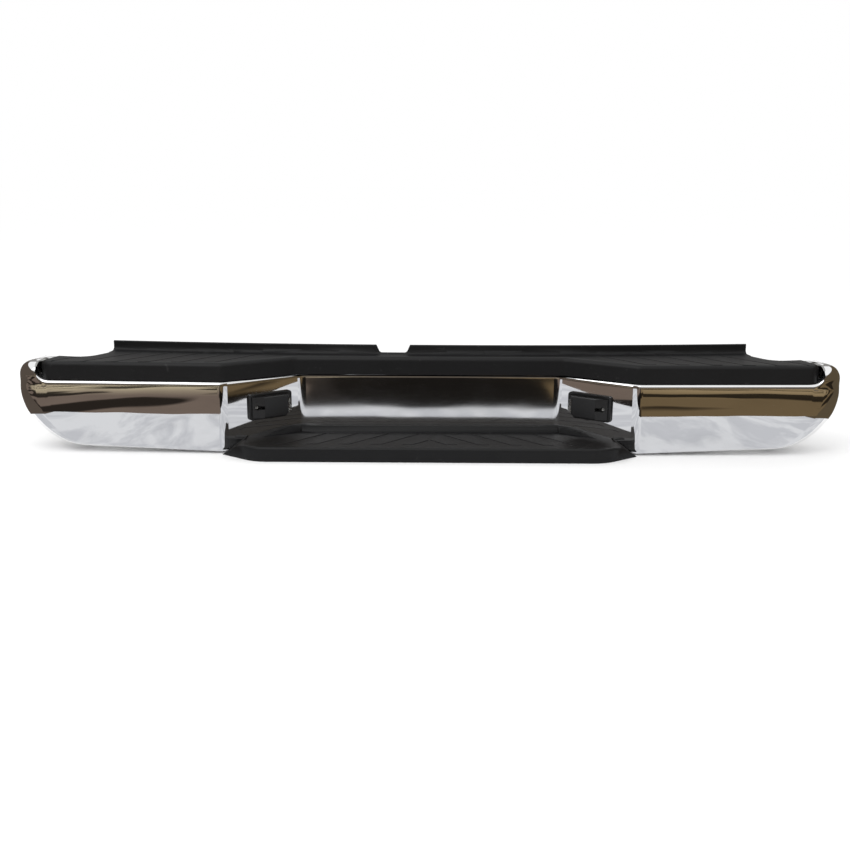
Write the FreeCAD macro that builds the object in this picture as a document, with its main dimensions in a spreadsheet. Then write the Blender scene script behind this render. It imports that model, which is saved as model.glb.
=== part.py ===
import FreeCAD, Part
import math
import os
from types import SimpleNamespace

import Sketcher
from FreeCAD import Placement, Rotation, Vector

# Rear step bumper of a pickup truck.
# The long axis is X, the tread side faces -Y, and Z is up.
# The origin lies under the middle of the bumper, on the ground that it stands on.

doc = FreeCAD.newDocument("StepBumper")
sheet = doc.addObject("Spreadsheet::Sheet", "Sizes")

# Driving dimensions in millimetres
sizes = {
    # Chrome face bar
    "bar_half_width": 912,
    "bar_skin": 2,
    "bar_bottom": 2.5,
    "bar_top": 194.5,
    "bar_front": -120,
    "bar_back": 35,
    "bar_panel": -5,
    "recess_half": 287,
    "flank_half": 448,
    "wing_sweep": 15,
    "side_taper": 35,
    "recess_round": 25,
    "flank_round": 25,
    "wing_round": 50,
    "shoulder_level": 158,
    "shoulder_round": 8,
    "bottom_roll": 12,
    "top_roll": 30,
    "end_curve_top": 139,
    "end_curve_wide": 116,
    "end_curve_power": 1.7,
    "wing_rise": 15,
    "top_flange": 45,
    "bottom_flange": 22,
    "flange_end_in": 122,
    "end_back": 6,
    # Top step pad
    "pad_wall": 4,
    "pad_step": 8,
    "pad_end_in": 62,
    "pad_lip_gap": 0.5,
    "pad_end_round": 25,
    "pad_round": 11,
    "pad_recess_out": 13,
    "pad_recess_over": 15,
    "pad_corner": 25,
    "pad_side_back": -19,
    "pad_flank_in": 2,
    "pad_side_lean": 23,
    "pad_dip_out": 37,
    "pad_dip_round": 30,
    "pad_dip_back": -34,
    "strip_end_in": 189,
    "strip_end_back": 58,
    "strip_end_deep": 20,
    "strip_end_out": 2,
    "strip_bow": 42,
    "strip_height": 22,
    "strip_thick": 6,
    "strip_cove": 10,
    "notch_place": -83,
    "notch_top": 76,
    "notch_bottom": 60,
    "notch_depth": 18,
    "notch_round": 8,
    "groove_wide": 4.5,
    "groove_deep": 1.8,
    "wing_groove_out": 14,
    "wing_groove_pitch": 71,
    "wing_groove_front": -98,
    "wing_groove_run": 118,
    "wing_groove_lean": 92,
    "groove_hook": 22,
    # Lower step pad
    "step_level": 31,
    "step_front": -180,
    "step_front_in": 76,
    "step_bend": 80,
    "step_tip": -122,
    "step_round": 6,
    "step_dive": 46,
    "step_dive_round": 25,
    "step_gap": 0.5,
    "rim_wide": 22,
    "rim_end": -91,
    "curb_deep": 29,
    "curb_rise": 13,
    "curb_hollow_in": 25,
    "curb_groove_pitch": 8,
    "curb_groove_in": 42,
    "step_groove_pitch": 69,
    "step_groove_margin": 10,
    "step_groove_front": -146,
    "step_groove_run": 92,
    "step_groove_lean": 80,
    # Cross beam behind the recess
    "fit_gap": 0.3,
    "beam_past_foot": 68,
    "beam_wall": 3,
    "beam_low": 16,
    "beam_tall": 110,
    "beam_deep": 60,
    # Frame brackets
    "bracket_place": 470,
    "bracket_wall": 6,
    "bracket_foot": 62,
    "bracket_back": 180,
    "bracket_heel": 78,
    "bracket_nose": 95,
    "bracket_slope": 140,
    "frame_hole": 6.5,
    "frame_hole_back": 135,
    "frame_hole_level": 50,
    "frame_hole_along": 60,
    "frame_hole_up": 50,
    # Corner braces
    "brace_wall": 4,
    "brace_lap": 55,
    "brace_low": 75,
    "brace_tall": 40,
    "brace_tab": 45,
    "brace_tab_low": 140,
    "brace_tab_tall": 20,
    # Support under the lower step
    "support_wall": 3,
    "support_half": 250,
    "support_front": -165,
    "support_flange": 13,
    "support_rib_half": 150,
    "support_rib_drop": 16,
    "support_clip_in": 40,
    # Fasteners
    "bolt_hole_room": 0.5,
    "pin_hole_room": 0.2,
    "thread_room": 0.05,
    "large_bolt": 6,
    "large_head": 7.5,
    "large_across": 10.4,
    "small_bolt": 4,
    "small_head": 4.5,
    "small_across": 7.2,
    "bolt_spare": 6,
    "support_bolt_up": 6.4,
    "support_bolt_half": 90,
    "support_bolt_pitch": 130,
    "foot_bolt_level": 71,
    "foot_bolt_up": 60,
    "brace_bolt_in": 14,
    "brace_bolt_pitch": 28,
    "clip_stem": 3.5,
    "clip_long": 14,
    "clip_barb_in": 1,
    "clip_barb_out": 2,
    "clip_share": 0.32,
    "clip_first": 0.4,
    # Number plate lamps
    "lamp_out": 68,
    "lamp_level": 95.5,
    "lamp_half": 52,
    "lamp_tall": 58,
    "lamp_corner": 7,
    "lamp_cut": 17,
    "lamp_rim": 5,
    "lamp_border": 6,
    "lamp_seal": 1,
    "lamp_nose": 24,
    "lamp_nose_round": 2,
    "lamp_side_deep": 3,
    "lamp_wall": 2.5,
    "lens_share": 0.65,
    "lens_trim": 3,
    "lens_room": 0.1,
    "tub_outer": 22,
    "tub_inner": 34,
    "tub_half_tall": 17,
    "tub_deep": 22,
    "holder_round": 11,
    "holder_long": 18,
    "holder_lip": 2.5,
    "holder_lip_thick": 2,
    "socket_half": 6,
    "socket_half_tall": 4.2,
    "bulb_round": 5,
    "bulb_long": 16,
    "screw_place": 36,
    "screw_round": 2,
    "screw_head": 4,
    "screw_head_thick": 2.5,
    "screw_well": 5.5,
    "screw_sink": 2,
    "screw_slot": 13.2,
    "screw_slot_half": 3.9,
    "screw_long": 18,
    "cross_half": 0.5,
    "cross_reach": 2.4,
    "cross_deep": 1.2,
}

for row, (alias, value) in enumerate(sizes.items(), start=1):
    sheet.set(f"A{row}", alias.replace("_", " "))
    sheet.set(f"B{row}", str(value))
    sheet.setAlias(f"B{row}", alias)
doc.recompute()
s = SimpleNamespace(**{alias: float(sheet.get(alias)) for alias in sizes})

# Places that follow from the driving dimensions
end_flat_half = s.bar_half_width - s.end_curve_wide
flange_end = s.bar_half_width - s.flange_end_in
pad_end = s.bar_half_width - s.pad_end_in
strip_half = s.bar_half_width - s.strip_end_in
pad_recess_half = s.recess_half + s.pad_recess_out
pad_recess_front = s.bar_panel - s.pad_recess_over
step_front_half = s.flank_half - s.step_front_in
lamp_place = s.recess_half + s.lamp_out
foot_end = s.bracket_place + s.bracket_foot
beam_half = foot_end + s.beam_past_foot
brace_inner = beam_half - s.brace_lap
support_top = s.step_level - s.pad_wall - s.fit_gap
support_bolt_level = support_top + s.support_bolt_up
flange_front = s.bar_panel - s.support_wall - s.fit_gap

up = Vector(0, 0, 1)
along = Vector(1, 0, 0)
inward = Vector(0, 1, 0)
thin = 0.5
beyond = 400


# Outlines seen from above


def rounded_wire(corners, level=0):
    """A closed outline through (x, y, radius) corners."""
    arrivals, middles, leavings = [], [], []
    for i, (x, y, radius) in enumerate(corners):
        here = Vector(x, y, level)
        before = Vector(*corners[i - 1][:2], level) - here
        after = Vector(*corners[(i + 1) % len(corners)][:2], level) - here
        before.normalize()
        after.normalize()
        half_angle = before.getAngle(after) / 2
        reach = radius / math.tan(half_angle)
        bisector = (before + after).normalize()
        centre = here + bisector * (radius / math.sin(half_angle))
        arrivals.append(here + before * reach)
        middles.append(centre - bisector * radius)
        leavings.append(here + after * reach)
    edges = []
    for i, (_, _, radius) in enumerate(corners):
        if radius > 0:
            edges.append(Part.Arc(arrivals[i], middles[i], leavings[i]).toShape())
        following = arrivals[(i + 1) % len(corners)]
        if leavings[i].distanceToPoint(following) > 1e-6:
            edges.append(Part.LineSegment(leavings[i], following).toShape())
    return Part.Wire(edges)


def prism(corners, low, high):
    return Part.Face(rounded_wire(corners, low)).extrude(up * (high - low))


def both_sides(right_half):
    """Corners listed from the middle outwards, mirrored to the left."""
    left_half = [(-x, y, radius) for x, y, radius in reversed(right_half)]
    return left_half + right_half


def inset_chain(chain, inset):
    """Moves an open chain towards the body, which lies to its left, and keeps its end levels."""
    runs = []
    for (x0, y0, _), (x1, y1, _) in zip(chain, chain[1:]):
        direction = Vector(x1 - x0, y1 - y0, 0).normalize()
        normal = Vector(-direction.y, direction.x, 0)
        runs.append((Vector(x0, y0, 0) + normal * inset, direction))

    def crossing(run, other):
        start, direction = run
        aim, course = other
        gap = aim - start
        share = gap.cross(course).z / direction.cross(course).z
        return start + direction * share

    first = crossing(runs[0], (Vector(0, chain[0][1], 0), along))
    last = crossing(runs[-1], (Vector(0, chain[-1][1], 0), along))
    moved = [(first.x, first.y, chain[0][2])]
    for i in range(1, len(chain) - 1):
        place = crossing(runs[i - 1], runs[i])
        turns_left = runs[i - 1][1].cross(runs[i][1]).z > 0
        radius = chain[i][2] - inset if turns_left else chain[i][2] + inset
        moved.append((place.x, place.y, max(radius, thin)))
    moved.append((last.x, last.y, chain[-1][2]))
    return moved


def wing_face(x):
    """The wing's front face at a distance from the middle."""
    return s.bar_front + (x - s.flank_half) * s.wing_sweep / (s.bar_half_width - s.flank_half)


pad_end_front = wing_face(pad_end) + s.pad_step


def side_lean(y):
    """How far the pad's side has leaned in at a depth."""
    return s.pad_side_lean * (y - pad_end_front) / (s.pad_side_back - pad_end_front)


def bar_corners(inset=0, half=None, back=None):
    half = s.bar_half_width if half is None else half
    back = s.bar_back if back is None else back
    taper = s.side_taper * (back - wing_face(half)) / (s.bar_back - wing_face(s.bar_half_width))
    chain = both_sides([
        (s.recess_half, s.bar_panel, s.recess_round),
        (s.flank_half, s.bar_front, s.flank_round),
        (half, wing_face(half), s.wing_round),
        (half - taper, back, 0),
    ])
    return inset_chain(chain, inset)


def round_top(solid, level, radius, back):
    """Rounds the top edges, apart from those along the back."""
    edges = []
    for edge in solid.Edges:
        box = edge.BoundBox
        on_top = abs(box.ZMin - level) < 1e-4 and abs(box.ZMax - level) < 1e-4
        if on_top and box.YMin < back - 1e-4:
            edges.append(edge)
    return solid.makeFillet(radius, edges)


def box(x0, x1, y0, y1, z0, z1):
    return Part.makeBox(x1 - x0, y1 - y0, z1 - z0, Vector(x0, y0, z0))


# Chrome face bar: one pressed sheet with two wings, two flanks and a recessed panel


def end_reach(level, skin):
    """Half width of the wings, which curl under towards their lower outer corners."""
    if level >= s.end_curve_top:
        return s.bar_half_width
    drop = (s.end_curve_top - level) / (s.end_curve_top - s.bar_bottom - skin)
    share = max(0, 1 - drop ** s.end_curve_power) ** (1 / s.end_curve_power)
    return end_flat_half + skin + (s.bar_half_width - end_flat_half - skin) * share


def pad_seat(skin):
    """The space above the ends' inboard edge, where the pad's rounded lower corners sit."""
    edge = pad_end - s.pad_end_round
    middle = s.shoulder_level + s.pad_lip_gap + s.pad_end_round
    cheek = pad_end + s.pad_lip_gap + skin
    radius = cheek - edge
    pieces = [box(-cheek, cheek, -beyond, beyond, middle, beyond)]
    for x in (-edge, edge):
        pieces.append(Part.makeCylinder(radius, 2 * beyond, Vector(x, -beyond, middle), inward))
    seat = box(-edge, edge, -beyond, beyond, 0, beyond).fuse(pieces)
    stop = s.pad_side_back + s.pad_lip_gap + skin
    plan = both_sides([
        (flange_end, beyond, 0),
        (flange_end, stop, 0),
        (cheek - side_lean(stop), stop, 0),
        (cheek, pad_end_front, 0),
        (cheek, -beyond, 0),
    ])
    return seat.common(prism(plan[::-1], 0, beyond))


def seat_corners(inset, back):
    """The bar's outline under the pad: behind the pad's front wall and inside its ends."""
    panel_corner, flank_corner = bar_corners(s.pad_step)[4:6]
    chain = both_sides([
        panel_corner,
        flank_corner,
        (pad_end, pad_end_front, s.pad_corner),
        (pad_end - side_lean(back), back, 0),
    ])
    return inset_chain(chain, inset)


def bar_block(skin):
    """The space inside the sheet for skin = its thickness, or the whole outside for skin = 0."""
    back = s.bar_back + (1 if skin else 0)
    bottom = s.bar_bottom + skin
    top = s.bar_top - skin
    shoulder = s.shoulder_level - skin
    roll = s.bottom_roll - skin
    ledge = s.shoulder_round - skin
    roll_steps = 4
    curve_steps = 9
    curve_spread = 0.8
    levels = []
    for i in range(roll_steps):
        turn = math.radians(90 * i / roll_steps)
        levels.append((bottom + roll * (1 - math.cos(turn)), roll * (1 - math.sin(turn))))
    low = bottom + roll
    for i in range(curve_steps + 1):
        rise = 1 - math.cos(math.radians(90 * (i / curve_steps) ** curve_spread))
        levels.append((low + (s.end_curve_top - low) * rise, 0))
    for i in range(roll_steps + 1):
        turn = math.radians(90 * i / roll_steps)
        levels.append((shoulder - ledge * (1 - math.sin(turn)), ledge * (1 - math.cos(turn))))
    wires = []
    for level, roll_in in levels:
        half = end_reach(level, skin)
        wires.append(rounded_wire(bar_corners(skin + roll_in, half, back), level))
    lower = Part.makeLoft(wires, True, True)
    base = s.end_curve_top + 1
    middle = prism(seat_corners(s.pad_wall + s.fit_gap + skin, back), base, top)
    middle = round_top(middle, top, s.pad_round - s.pad_wall + s.bar_skin, back)
    ends = prism(bar_corners(skin, None, back), base, top)
    ends = round_top(ends, top, s.top_roll - skin, back)
    ends = ends.cut(pad_seat(skin))
    slope = s.wing_rise / (s.bar_half_width - s.flank_half)
    wedges = []
    for side in (-1, 1):
        start = Vector(side * s.flank_half, -beyond, bottom)
        end = Vector(side * (s.flank_half + beyond * 2), -beyond, bottom + slope * beyond * 2)
        low_end = Vector(end.x, -beyond, bottom - beyond)
        face = Part.Face(Part.makePolygon([start, end, low_end, start]))
        wedges.append(face.extrude(inward * beyond * 2))
    return lower.fuse([middle, ends]).cut(wedges)


def plate_lamp_place():
    """Where the right lamp sits on its flank: local X runs outboard, local Y into the bumper."""
    run = Vector(s.flank_half - s.recess_half, s.bar_front - s.bar_panel, 0)
    share = (lamp_place - s.recess_half) / run.x
    centre = Vector(lamp_place, s.bar_panel + run.y * share, s.lamp_level)
    return Placement(centre, Rotation(up, math.degrees(math.atan2(run.y, run.x))))


def on_right_flank(shape):
    placed = shape.copy()
    placed.Placement = plate_lamp_place().multiply(placed.Placement)
    return placed


def mirrored(shape):
    return shape.mirror(Vector(0, 0, 0), along)


def lamp_cutouts():
    reach = s.lamp_wall + s.fit_gap
    tub = box(-s.tub_inner - reach, s.tub_outer + reach, -s.lamp_rim, s.tub_deep,
              -s.tub_half_tall - reach, s.tub_half_tall + reach)
    start = Vector(s.screw_place, -s.lamp_rim, 0)
    hole = Part.makeCylinder(s.screw_round + s.pin_hole_room, s.screw_long, start, inward)
    right = [on_right_flank(tub), on_right_flank(hole)]
    return right + [mirrored(shape) for shape in right]


def clip_places():
    """Clips through the top flange, under the pad's wings."""
    depth = s.pad_step + s.pad_wall + s.top_flange / 2
    places = []
    spread = (pad_end - s.flank_half) * s.clip_share
    for i in range(3):
        x = s.flank_half + spread * (i + s.clip_first)
        places += [(x, wing_face(x) + depth), (-x, wing_face(x) + depth)]
    return places


def support_bolt_places():
    half = s.support_bolt_half
    outer = half + s.support_bolt_pitch
    return [-outer, -half, half, outer]


def build_face_bar():
    sheet_metal = bar_block(0).cut(bar_block(s.bar_skin))
    past_back = s.bar_back + 1
    inside = s.pad_step + s.pad_wall + s.fit_gap + s.top_flange
    top_opening = prism(bar_corners(inside, None, past_back), s.bar_top - 3 * s.bar_skin, s.bar_top + 1)
    top_opening = top_opening.common(box(-flange_end, flange_end, -beyond, beyond, 0, beyond))
    inside = s.bottom_roll + s.bottom_flange
    bottom_opening = prism(bar_corners(inside, end_flat_half, past_back), -1, s.bottom_roll + s.wing_rise)
    through = 4 * s.bar_skin
    holes = []
    for x, y in clip_places():
        place = Vector(x, y, s.bar_top - through / 2)
        holes.append(Part.makeCylinder(s.clip_stem + s.pin_hole_room, through, place, up))
    for x in support_bolt_places():
        place = Vector(x, s.bar_panel - through / 2, support_bolt_level)
        holes.append(Part.makeCylinder(s.small_bolt + s.bolt_hole_room, through, place, inward))
    ends = [box(-beyond * 3, -flange_end, s.end_back, beyond, 0, beyond),
            box(flange_end, beyond * 3, s.end_back, beyond, 0, beyond)]
    return sheet_metal.cut([top_opening, bottom_opening] + ends + holes + lamp_cutouts())


# Treads


def groove(front_x, front_y, lean, run, hook, level):
    """A hooked groove: a short stretch along X at the front, then a slant to the back."""
    half = s.groove_wide / 2
    side = 1 if hook > 0 else -1
    slant = math.hypot(lean, run)
    cutter = Part.makeBox(slant, 2 * half, s.groove_deep * 2, Vector(0, -half, 0))
    cutter.rotate(Vector(0, 0, 0), up, math.degrees(math.atan2(run, lean)))
    start = Part.makeCylinder(half, s.groove_deep * 2)
    finish = Part.makeCylinder(half, s.groove_deep * 2, Vector(lean, run, 0))
    toe = Part.makeBox(abs(hook), 2 * half, s.groove_deep * 2, Vector(min(0, hook), -half, 0))
    tip = Part.makeCylinder(half, s.groove_deep * 2, Vector(side * abs(hook), 0, 0))
    whole = cutter.fuse([start, finish, toe, tip])
    whole.translate(Vector(front_x, front_y, level - s.groove_deep))
    return whole


# Top step pad: one moulding with its tailgate strip


def pad_front_chain():
    return both_sides([
        (pad_recess_half, pad_recess_front, s.pad_corner),
        (s.flank_half - s.pad_flank_in, s.bar_front + s.pad_step, s.pad_corner),
        (pad_end, pad_end_front, s.pad_corner),
        (pad_end - s.pad_side_lean, s.pad_side_back, 0),
    ])


def strip_centre():
    """Middle of the strip's arc, far in front of the bumper, and its outer radius."""
    radius = (strip_half ** 2 + s.strip_bow ** 2) / (2 * s.strip_bow)
    return Vector(0, s.strip_end_back - s.strip_bow + radius, 0), radius


def pad_outline(inset, level, past_back=0):
    """The pad seen from above: rounded front, stepped ends and a bowed back."""
    chain = inset_chain(pad_front_chain(), inset)
    back_end = s.strip_end_back + past_back
    tail = [
        (strip_half + s.pad_dip_out, s.pad_dip_back + 2 * past_back, s.pad_dip_round),
        (strip_half + s.strip_end_out, back_end - s.strip_end_deep, 0),
    ]
    left_tail = [(-x, y, radius) for x, y, radius in reversed(tail)]
    corners = left_tail + chain + tail
    closed = rounded_wire(corners, level)
    ends = [Vector(side * (strip_half + s.strip_end_out), back_end - s.strip_end_deep, level) for side in (-1, 1)]
    edges = [edge for edge in closed.Edges if not spans(edge, ends)]
    left_end = Vector(-strip_half, back_end, level)
    right_end = Vector(strip_half, back_end, level)
    middle = Vector(0, back_end - s.strip_bow, level)
    edges.append(Part.LineSegment(ends[1], right_end).toShape())
    edges.append(Part.Arc(right_end, middle, left_end).toShape())
    edges.append(Part.LineSegment(left_end, ends[0]).toShape())
    return Part.Wire(Part.sortEdges(edges)[0])


def spans(edge, ends):
    points = [vertex.Point for vertex in edge.Vertexes]
    return all(min(point.distanceToPoint(end) for end in ends) < 1e-6 for point in points)


def pad_prism(inset, low, high, past_back=0):
    return Part.Face(pad_outline(inset, low, past_back)).extrude(up * (high - low))


def front_edges(solid, level, inset, with_dips):
    """Top edges along the front and the sides, with or without those of the dips behind them."""
    chain = inset_chain(pad_front_chain(), inset)
    limit = chain[-1][1]
    picked = []
    for edge in solid.Edges:
        bounds = edge.BoundBox
        level_edge = abs(bounds.ZMin - level) < 1e-4 and abs(bounds.ZMax - level) < 1e-4
        nearest = min(abs(bounds.XMin), abs(bounds.XMax))
        in_dip = nearest > strip_half and bounds.YMin > s.pad_dip_back - 1
        if level_edge and bounds.YMax < limit + 1e-4 and (with_dips or not in_dip):
            picked.append(edge)
    return picked


def build_top_pad():
    low = s.shoulder_level + s.pad_lip_gap
    under = s.bar_top + s.fit_gap
    top = under + s.pad_wall
    outer = pad_prism(0, low, top)
    outer = outer.makeFillet(s.pad_round, front_edges(outer, top, 0, True))
    hollow = pad_prism(s.pad_wall, low - 1, under, 1)
    inner_edges = front_edges(hollow, under, s.pad_wall, False)
    hollow = hollow.makeFillet(s.pad_round - s.pad_wall, inner_edges)
    clear_back = s.strip_end_back + 1
    over_bar = prism(seat_corners(s.pad_wall + s.fit_gap, clear_back), low - 1, under)
    over_bar = round_top(over_bar, under, s.pad_round - s.pad_wall, clear_back)
    shell = outer.cut(hollow).cut(over_bar).cut(end_corners(low))
    centre, radius = strip_centre()
    back = s.strip_end_back - s.strip_bow
    front = back - s.strip_thick
    strip_top = top + s.strip_height
    cove_corner = Vector(0, front - s.strip_cove, top)
    cove_top = Vector(0, front, top + s.strip_cove)
    cove_sag = s.strip_cove * (1 - math.sqrt(0.5))
    cove_middle = Vector(0, front - cove_sag, top + cove_sag)
    soft = s.strip_thick / 2
    crown = Vector(0, front + soft, strip_top)
    section = Part.Wire([
        Part.LineSegment(Vector(0, back, under), Vector(0, back, strip_top - soft)).toShape(),
        Part.Arc(Vector(0, back, strip_top - soft), crown, Vector(0, front, strip_top - soft)).toShape(),
        Part.LineSegment(Vector(0, front, strip_top - soft), cove_top).toShape(),
        Part.Arc(cove_top, cove_middle, cove_corner).toShape(),
        Part.LineSegment(cove_corner, Vector(0, cove_corner.y, under)).toShape(),
        Part.LineSegment(Vector(0, cove_corner.y, under), Vector(0, back, under)).toShape(),
    ])
    sweep = 2 * math.degrees(math.asin(strip_half / radius))
    face = Part.Face(section)
    face.rotate(centre, up, -sweep / 2)
    strip = face.revolve(centre, up, sweep)
    notch = notch_cutter(strip_top)
    grooves = []
    first = s.flank_half + s.wing_groove_out
    count = math.floor((pad_end - s.pad_corner - first) / s.wing_groove_pitch) + 1
    for i in range(count):
        x = first + i * s.wing_groove_pitch
        for side in (-1, 1):
            hook = side * min(s.groove_hook, pad_end - s.pad_corner - x)
            lean = -side * s.wing_groove_lean
            grooves.append(groove(side * x, s.wing_groove_front, lean, s.wing_groove_run, hook, top))
    return shell.cut(grooves).fuse(strip).cut(notch).removeSplitter()


def end_corners(low):
    """What rounding the lower outer corners takes off the ends."""
    radius = s.pad_end_round
    cutters = []
    for side in (-1, 1):
        middle = side * (pad_end - radius)
        outer = side * (pad_end + 1)
        corner = box(min(middle, outer), max(middle, outer), -beyond, beyond, low - 2, low + radius)
        turned = Part.makeCylinder(radius, 2 * beyond, Vector(middle, -beyond, low + radius), inward)
        cutters.append(corner.cut(turned))
    return cutters


def notch_cutter(strip_top):
    floor = strip_top - s.notch_depth
    rise = s.notch_depth + s.strip_thick
    widen = (s.notch_top - s.notch_bottom) / 2 * rise / s.notch_depth
    low = s.notch_bottom / 2
    corners = [
        (-low - widen, floor + rise, 0),
        (-low, floor, s.notch_round),
        (low, floor, s.notch_round),
        (low + widen, floor + rise, 0),
    ]
    cutter = Part.Face(rounded_wire(corners)).extrude(up * (s.strip_bow + 2 * s.strip_thick))
    cutter.rotate(Vector(0, 0, 0), along, 90)
    cutter.translate(Vector(s.notch_place, s.strip_end_back, 0))
    return cutter


# Lower step pad: one moulding in the recess, in front of the wings


def step_chain():
    """Right half of the lower pad from the front middle to the back, seen from above."""
    bar = bar_corners(-s.step_gap)
    panel_corner, flank_corner = bar[4], bar[5]
    run = Vector(flank_corner[0] - panel_corner[0], flank_corner[1] - panel_corner[1], 0)
    share = (s.step_tip - panel_corner[1]) / run.y
    tip_x = panel_corner[0] + run.x * share
    return (step_front_half, s.step_front, s.step_bend), (tip_x, s.step_tip, 0), panel_corner


def step_prism(low, high, wall=0):
    chain = step_chain()
    left = [(-x, y, radius) for x, y, radius in chain]
    outline = list(chain) + left[::-1]
    if wall:
        face = Part.Face(rounded_wire(outline, low))
        return face.makeOffset2D(-wall, 2).extrude(up * (high - low))
    return prism(outline, low, high)


def between_tips(top, inset, radius):
    """The space under the treads' slopes, which run down to the floor at both tips."""
    tip_x = step_chain()[1][0]
    slope = s.step_dive / s.step_level
    aside = inset * math.hypot(1, slope)
    low_x = tip_x - aside + slope
    high_x = tip_x - aside - slope * top
    corners = [(-low_x, 1, 0), (low_x, 1, 0), (high_x, -top, radius), (-high_x, -top, radius)]
    whole = prism(corners, s.step_front - 1, 0)
    whole.rotate(Vector(0, 0, 0), along, -90)
    return whole


def tread_field(low, high):
    """The sunk part of the tread, between the rims along the flanks and the curb."""
    bend, tip, panel_corner = step_chain()
    run = Vector(tip[0] - panel_corner[0], tip[1] - panel_corner[1], 0).normalize()
    aside = Vector(run.y, -run.x, 0) * s.rim_wide
    back = panel_corner[1] - s.curb_deep
    front = s.step_front - s.rim_wide
    start = Vector(panel_corner[0], panel_corner[1], 0) + aside
    back_x = start.x + run.x * (back - start.y) / run.y
    front_x = start.x + run.x * (front - start.y) / run.y
    inner = s.rim_wide / 2
    corners = [(-back_x, back, inner), (-front_x, front, 0), (front_x, front, 0), (back_x, back, inner)]
    return prism(corners, low, high)


def step_border():
    """The raised border: a level curb at the back, and rims that fall to the tread towards the tips."""
    low = s.step_level - 1
    top = s.step_level + s.curb_rise
    panel_back = s.bar_panel - s.step_gap
    border = step_prism(low, top).cut(tread_field(low - 1, top + 1))
    fall_start = Vector(-beyond, panel_back - s.curb_deep, top)
    fall_end = Vector(-beyond, s.rim_end, s.step_level)
    fall = (fall_end - fall_start) * 3
    above = Part.makePolygon([fall_start, fall_start + fall, fall_start + up * beyond, fall_start])
    return border.cut(Part.Face(above).extrude(along * 2 * beyond)).common(between_tips(top, 0, 0))


def build_lower_pad():
    level = s.step_level
    body = step_prism(0, level)
    edges = []
    for edge in body.Edges:
        bounds = edge.BoundBox
        on_top = abs(bounds.ZMin - level) < 1e-4 and abs(bounds.ZMax - level) < 1e-4
        if on_top and edge.CenterOfMass.y < (s.step_front + s.step_tip) / 2:
            edges.append(edge)
    body = body.makeFillet(s.step_round, edges).common(between_tips(level, 0, s.step_dive_round))
    panel_back = s.bar_panel - s.step_gap
    whole = body.fuse(step_border())
    hollow = step_prism(-1, level - s.pad_wall, s.pad_wall)
    hollow = hollow.common(between_tips(level - s.pad_wall, s.pad_wall, 0))
    curb_half = s.recess_half - s.curb_hollow_in
    groove_half = s.recess_half - s.curb_groove_in
    curb_top = level + s.curb_rise - s.pad_wall
    curb_hollow = box(-curb_half, curb_half, panel_back - s.curb_deep + s.pad_wall, beyond, -1, curb_top)
    cutters = [hollow, curb_hollow]
    outermost = step_front_half - s.groove_hook - s.step_groove_margin
    count = math.floor(outermost / s.step_groove_pitch + 0.5)
    for i in range(count):
        x = s.step_groove_pitch * (i + 0.5)
        for side in (-1, 1):
            hook = side * s.groove_hook
            lean = -side * min(s.step_groove_lean, x - s.groove_wide)
            run = s.step_groove_run * abs(lean) / s.step_groove_lean
            cutters.append(groove(side * x, s.step_groove_front, lean, run, hook, level))
    for i in range(2):
        y = panel_back - s.curb_deep + s.curb_groove_pitch * (i + 1)
        wide = s.groove_wide / 2
        top = level + s.curb_rise
        cutters.append(box(-groove_half, groove_half, y, y + wide, top - s.groove_deep, top + 1))
    return whole.cut(cutters).removeSplitter()


# Formula-bound objects


def total(*names):
    """A length as a sum of named sizes: its value, and its formula for the document."""
    value = 0
    formula = "0 mm"
    for name in names:
        minus = name.startswith("-")
        alias = name.lstrip("-")
        value += -getattr(s, alias) if minus else getattr(s, alias)
        formula += (" - " if minus else " + ") + f"Sizes.{alias} * 1 mm"
    return value, formula


def fixed(value):
    """A length worked out from several sizes."""
    return value, f"{value} mm"


ground = (0, None)


def origin_plane(body, role):
    return next(feature for feature in body.Origin.OriginFeatures if feature.Role == role)


def add_sketch(body, name, role, offset, corners):
    """A closed sketch through corners given as pairs of totals, set off from an origin plane."""
    sketch = body.newObject("Sketcher::SketchObject", name)
    sketch.AttachmentSupport = [(origin_plane(body, role), "")]
    sketch.MapMode = "FlatFace"
    sketch.setExpression("AttachmentOffset.Base.z", offset[1])
    count = len(corners)
    for i in range(count):
        start, end = corners[i], corners[(i + 1) % count]
        start_point = Vector(start[0][0], start[1][0], 0)
        end_point = Vector(end[0][0], end[1][0], 0)
        sketch.addGeometry(Part.LineSegment(start_point, end_point), False)
    for i in range(count):
        sketch.addConstraint(Sketcher.Constraint("Coincident", i, 2, (i + 1) % count, 1))
    for i, (across, height) in enumerate(corners):
        place_point(sketch, i, 1, across, height)
    return sketch


def place_point(sketch, geometry, point, across, height):
    """Ties a point to the sketch's origin, or to its horizontal axis at ground level."""
    for kind, (value, formula) in (("DistanceX", across), ("DistanceY", height)):
        if formula is None:
            sketch.addConstraint(Sketcher.Constraint("PointOnObject", geometry, point, -1))
            continue
        index = sketch.addConstraint(Sketcher.Constraint(kind, -1, 1, geometry, point, value))
        sketch.setExpression(f"Constraints[{index}]", formula)


def add_circles(body, name, role, offset, circles):
    """Circles as (across, height, radius) totals."""
    sketch = body.newObject("Sketcher::SketchObject", name)
    sketch.AttachmentSupport = [(origin_plane(body, role), "")]
    sketch.MapMode = "FlatFace"
    sketch.setExpression("AttachmentOffset.Base.z", offset[1])
    for i, (across, height, radius) in enumerate(circles):
        centre = Vector(across[0], height[0], 0)
        sketch.addGeometry(Part.Circle(centre, up, radius[0]), False)
        place_point(sketch, i, 3, across, height)
        index = sketch.addConstraint(Sketcher.Constraint("Radius", i, radius[0]))
        sketch.setExpression(f"Constraints[{index}]", radius[1])
    return sketch


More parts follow.
